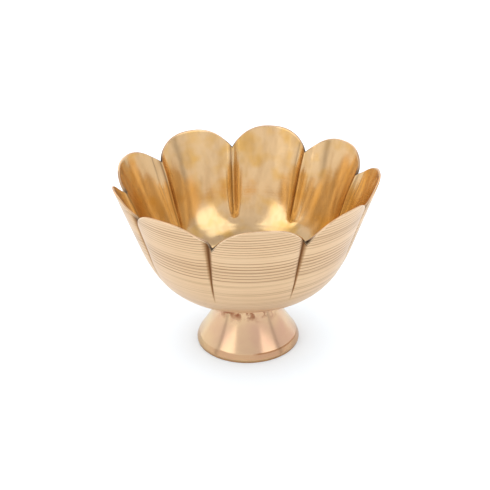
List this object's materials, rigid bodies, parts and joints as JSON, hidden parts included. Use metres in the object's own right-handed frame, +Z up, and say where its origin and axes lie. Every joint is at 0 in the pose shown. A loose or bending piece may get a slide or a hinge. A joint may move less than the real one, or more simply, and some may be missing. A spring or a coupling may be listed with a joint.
{
  "type": "footed lotus bowl",
  "caption": "Small footed lotus bowl: a thin turned shell cut into arched petals with creases between them, brazed onto a hollow flared foot.",
  "frame": {"origin": "centre of the foot's base, on the surface it stands on", "axes": "+Z up through the middle of the foot and bowl; one petal's middle points along -Y"},
  "size_m": [0.103, 0.1021, 0.0739],
  "materials": {
    "turned_brass": "lathe-turned outside with fine rings round the petals, polished golden inside",
    "polished_brass": "hand polished, soft gloss",
    "braze_filler": "reddish heat-stained filler, left rough"
  },
  "bodies": {
    "root": {"petal_bowl": "turned_brass", "pedestal_foot": "polished_brass", "neck_braze": "braze_filler"}
  },
  "joints": []
}
